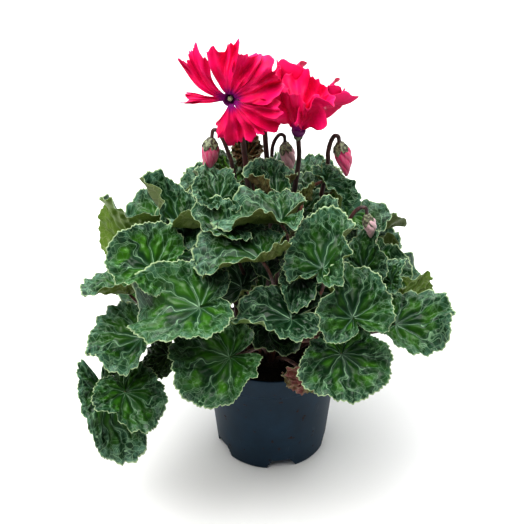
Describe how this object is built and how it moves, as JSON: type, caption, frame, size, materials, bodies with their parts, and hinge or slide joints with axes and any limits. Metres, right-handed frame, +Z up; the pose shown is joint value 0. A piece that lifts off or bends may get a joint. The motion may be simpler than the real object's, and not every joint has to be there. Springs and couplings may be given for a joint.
{
  "type": "potted cyclamen",
  "caption": "Flowering cyclamen in a round nursery pot: a mound of marbled heart-shaped leaves on arching stalks, with frilled flowers and nodding buds above.",
  "frame": {"origin": "centre of the pot's underside, on the pot's axis", "axes": "+Z up along the pot's axis, -Y towards the front of the plant, +X to its right as seen from the front"},
  "size_m": [0.3199, 0.3087, 0.4058],
  "materials": {
    "pot": "satin moulded plastic",
    "soil": "damp crumbly compost",
    "corm": "rough brown skin",
    "leaf": "satin, marbled with silver",
    "young_leaf": "satin, olive",
    "stem": "satin, dark red-brown",
    "bud": "satin pink",
    "petal": "soft sheen"
  },
  "bodies": {
    "root": {"pot": "pot", "soil": "soil", "corm": "corm", "leaf_crown_front": "leaf", "leaf_upper_left": "leaf", "leaf_top_olive_left": "young_leaf", "leaf_top_young": "young_leaf", "leaf_top_dark": "leaf", "leaf_top_right_fold": "leaf", "leaf_right_shoulder": "leaf", "leaf_right_hook": "leaf", "leaf_upper_mid": "leaf", "leaf_left_mid": "leaf", "leaf_centre": "leaf", "leaf_right_centre": "leaf", "leaf_right_upper": "leaf", "leaf_right_rear": "leaf", "leaf_right_mid": "leaf", "leaf_right_small": "leaf", "leaf_right_pale": "leaf", "leaf_right_low": "leaf", "leaf_front_right": "leaf", "leaf_front_left": "leaf", "leaf_front_mid": "leaf", "leaf_left_big": "leaf", "leaf_left_front": "leaf", "leaf_left_edge": "leaf", "leaf_left_olive": "young_leaf", "leaf_left_upper": "leaf", "leaf_left_drop": "leaf", "leaf_left_low": "leaf", "leaf_left_tip": "leaf", "leaf_front_dark": "leaf", "leaf_front_curl": "leaf", "leaf_left_under": "leaf", "leaf_back_right": "leaf", "leaf_back_right_low": "leaf", "leaf_back_far_right": "leaf", "leaf_back_centre": "leaf", "leaf_back_centre_high": "leaf", "leaf_back_far_left": "leaf", "leaf_back_left_high": "leaf", "leaf_back_left": "leaf", "leaf_back_low": "leaf", "stem_left_flower": "stem", "stem_right_flower": "stem", "stem_rear_flower": "stem", "stem_left_bud": "stem", "stem_mid_bud": "stem", "stem_right_bud": "stem", "stem_small_bud": "stem", "bud_left": "bud", "bud_mid": "bud", "bud_right": "bud", "bud_small": "bud", "petals_left": "petal", "petals_right": "petal", "petals_rear": "petal"}
  },
  "joints": []
}
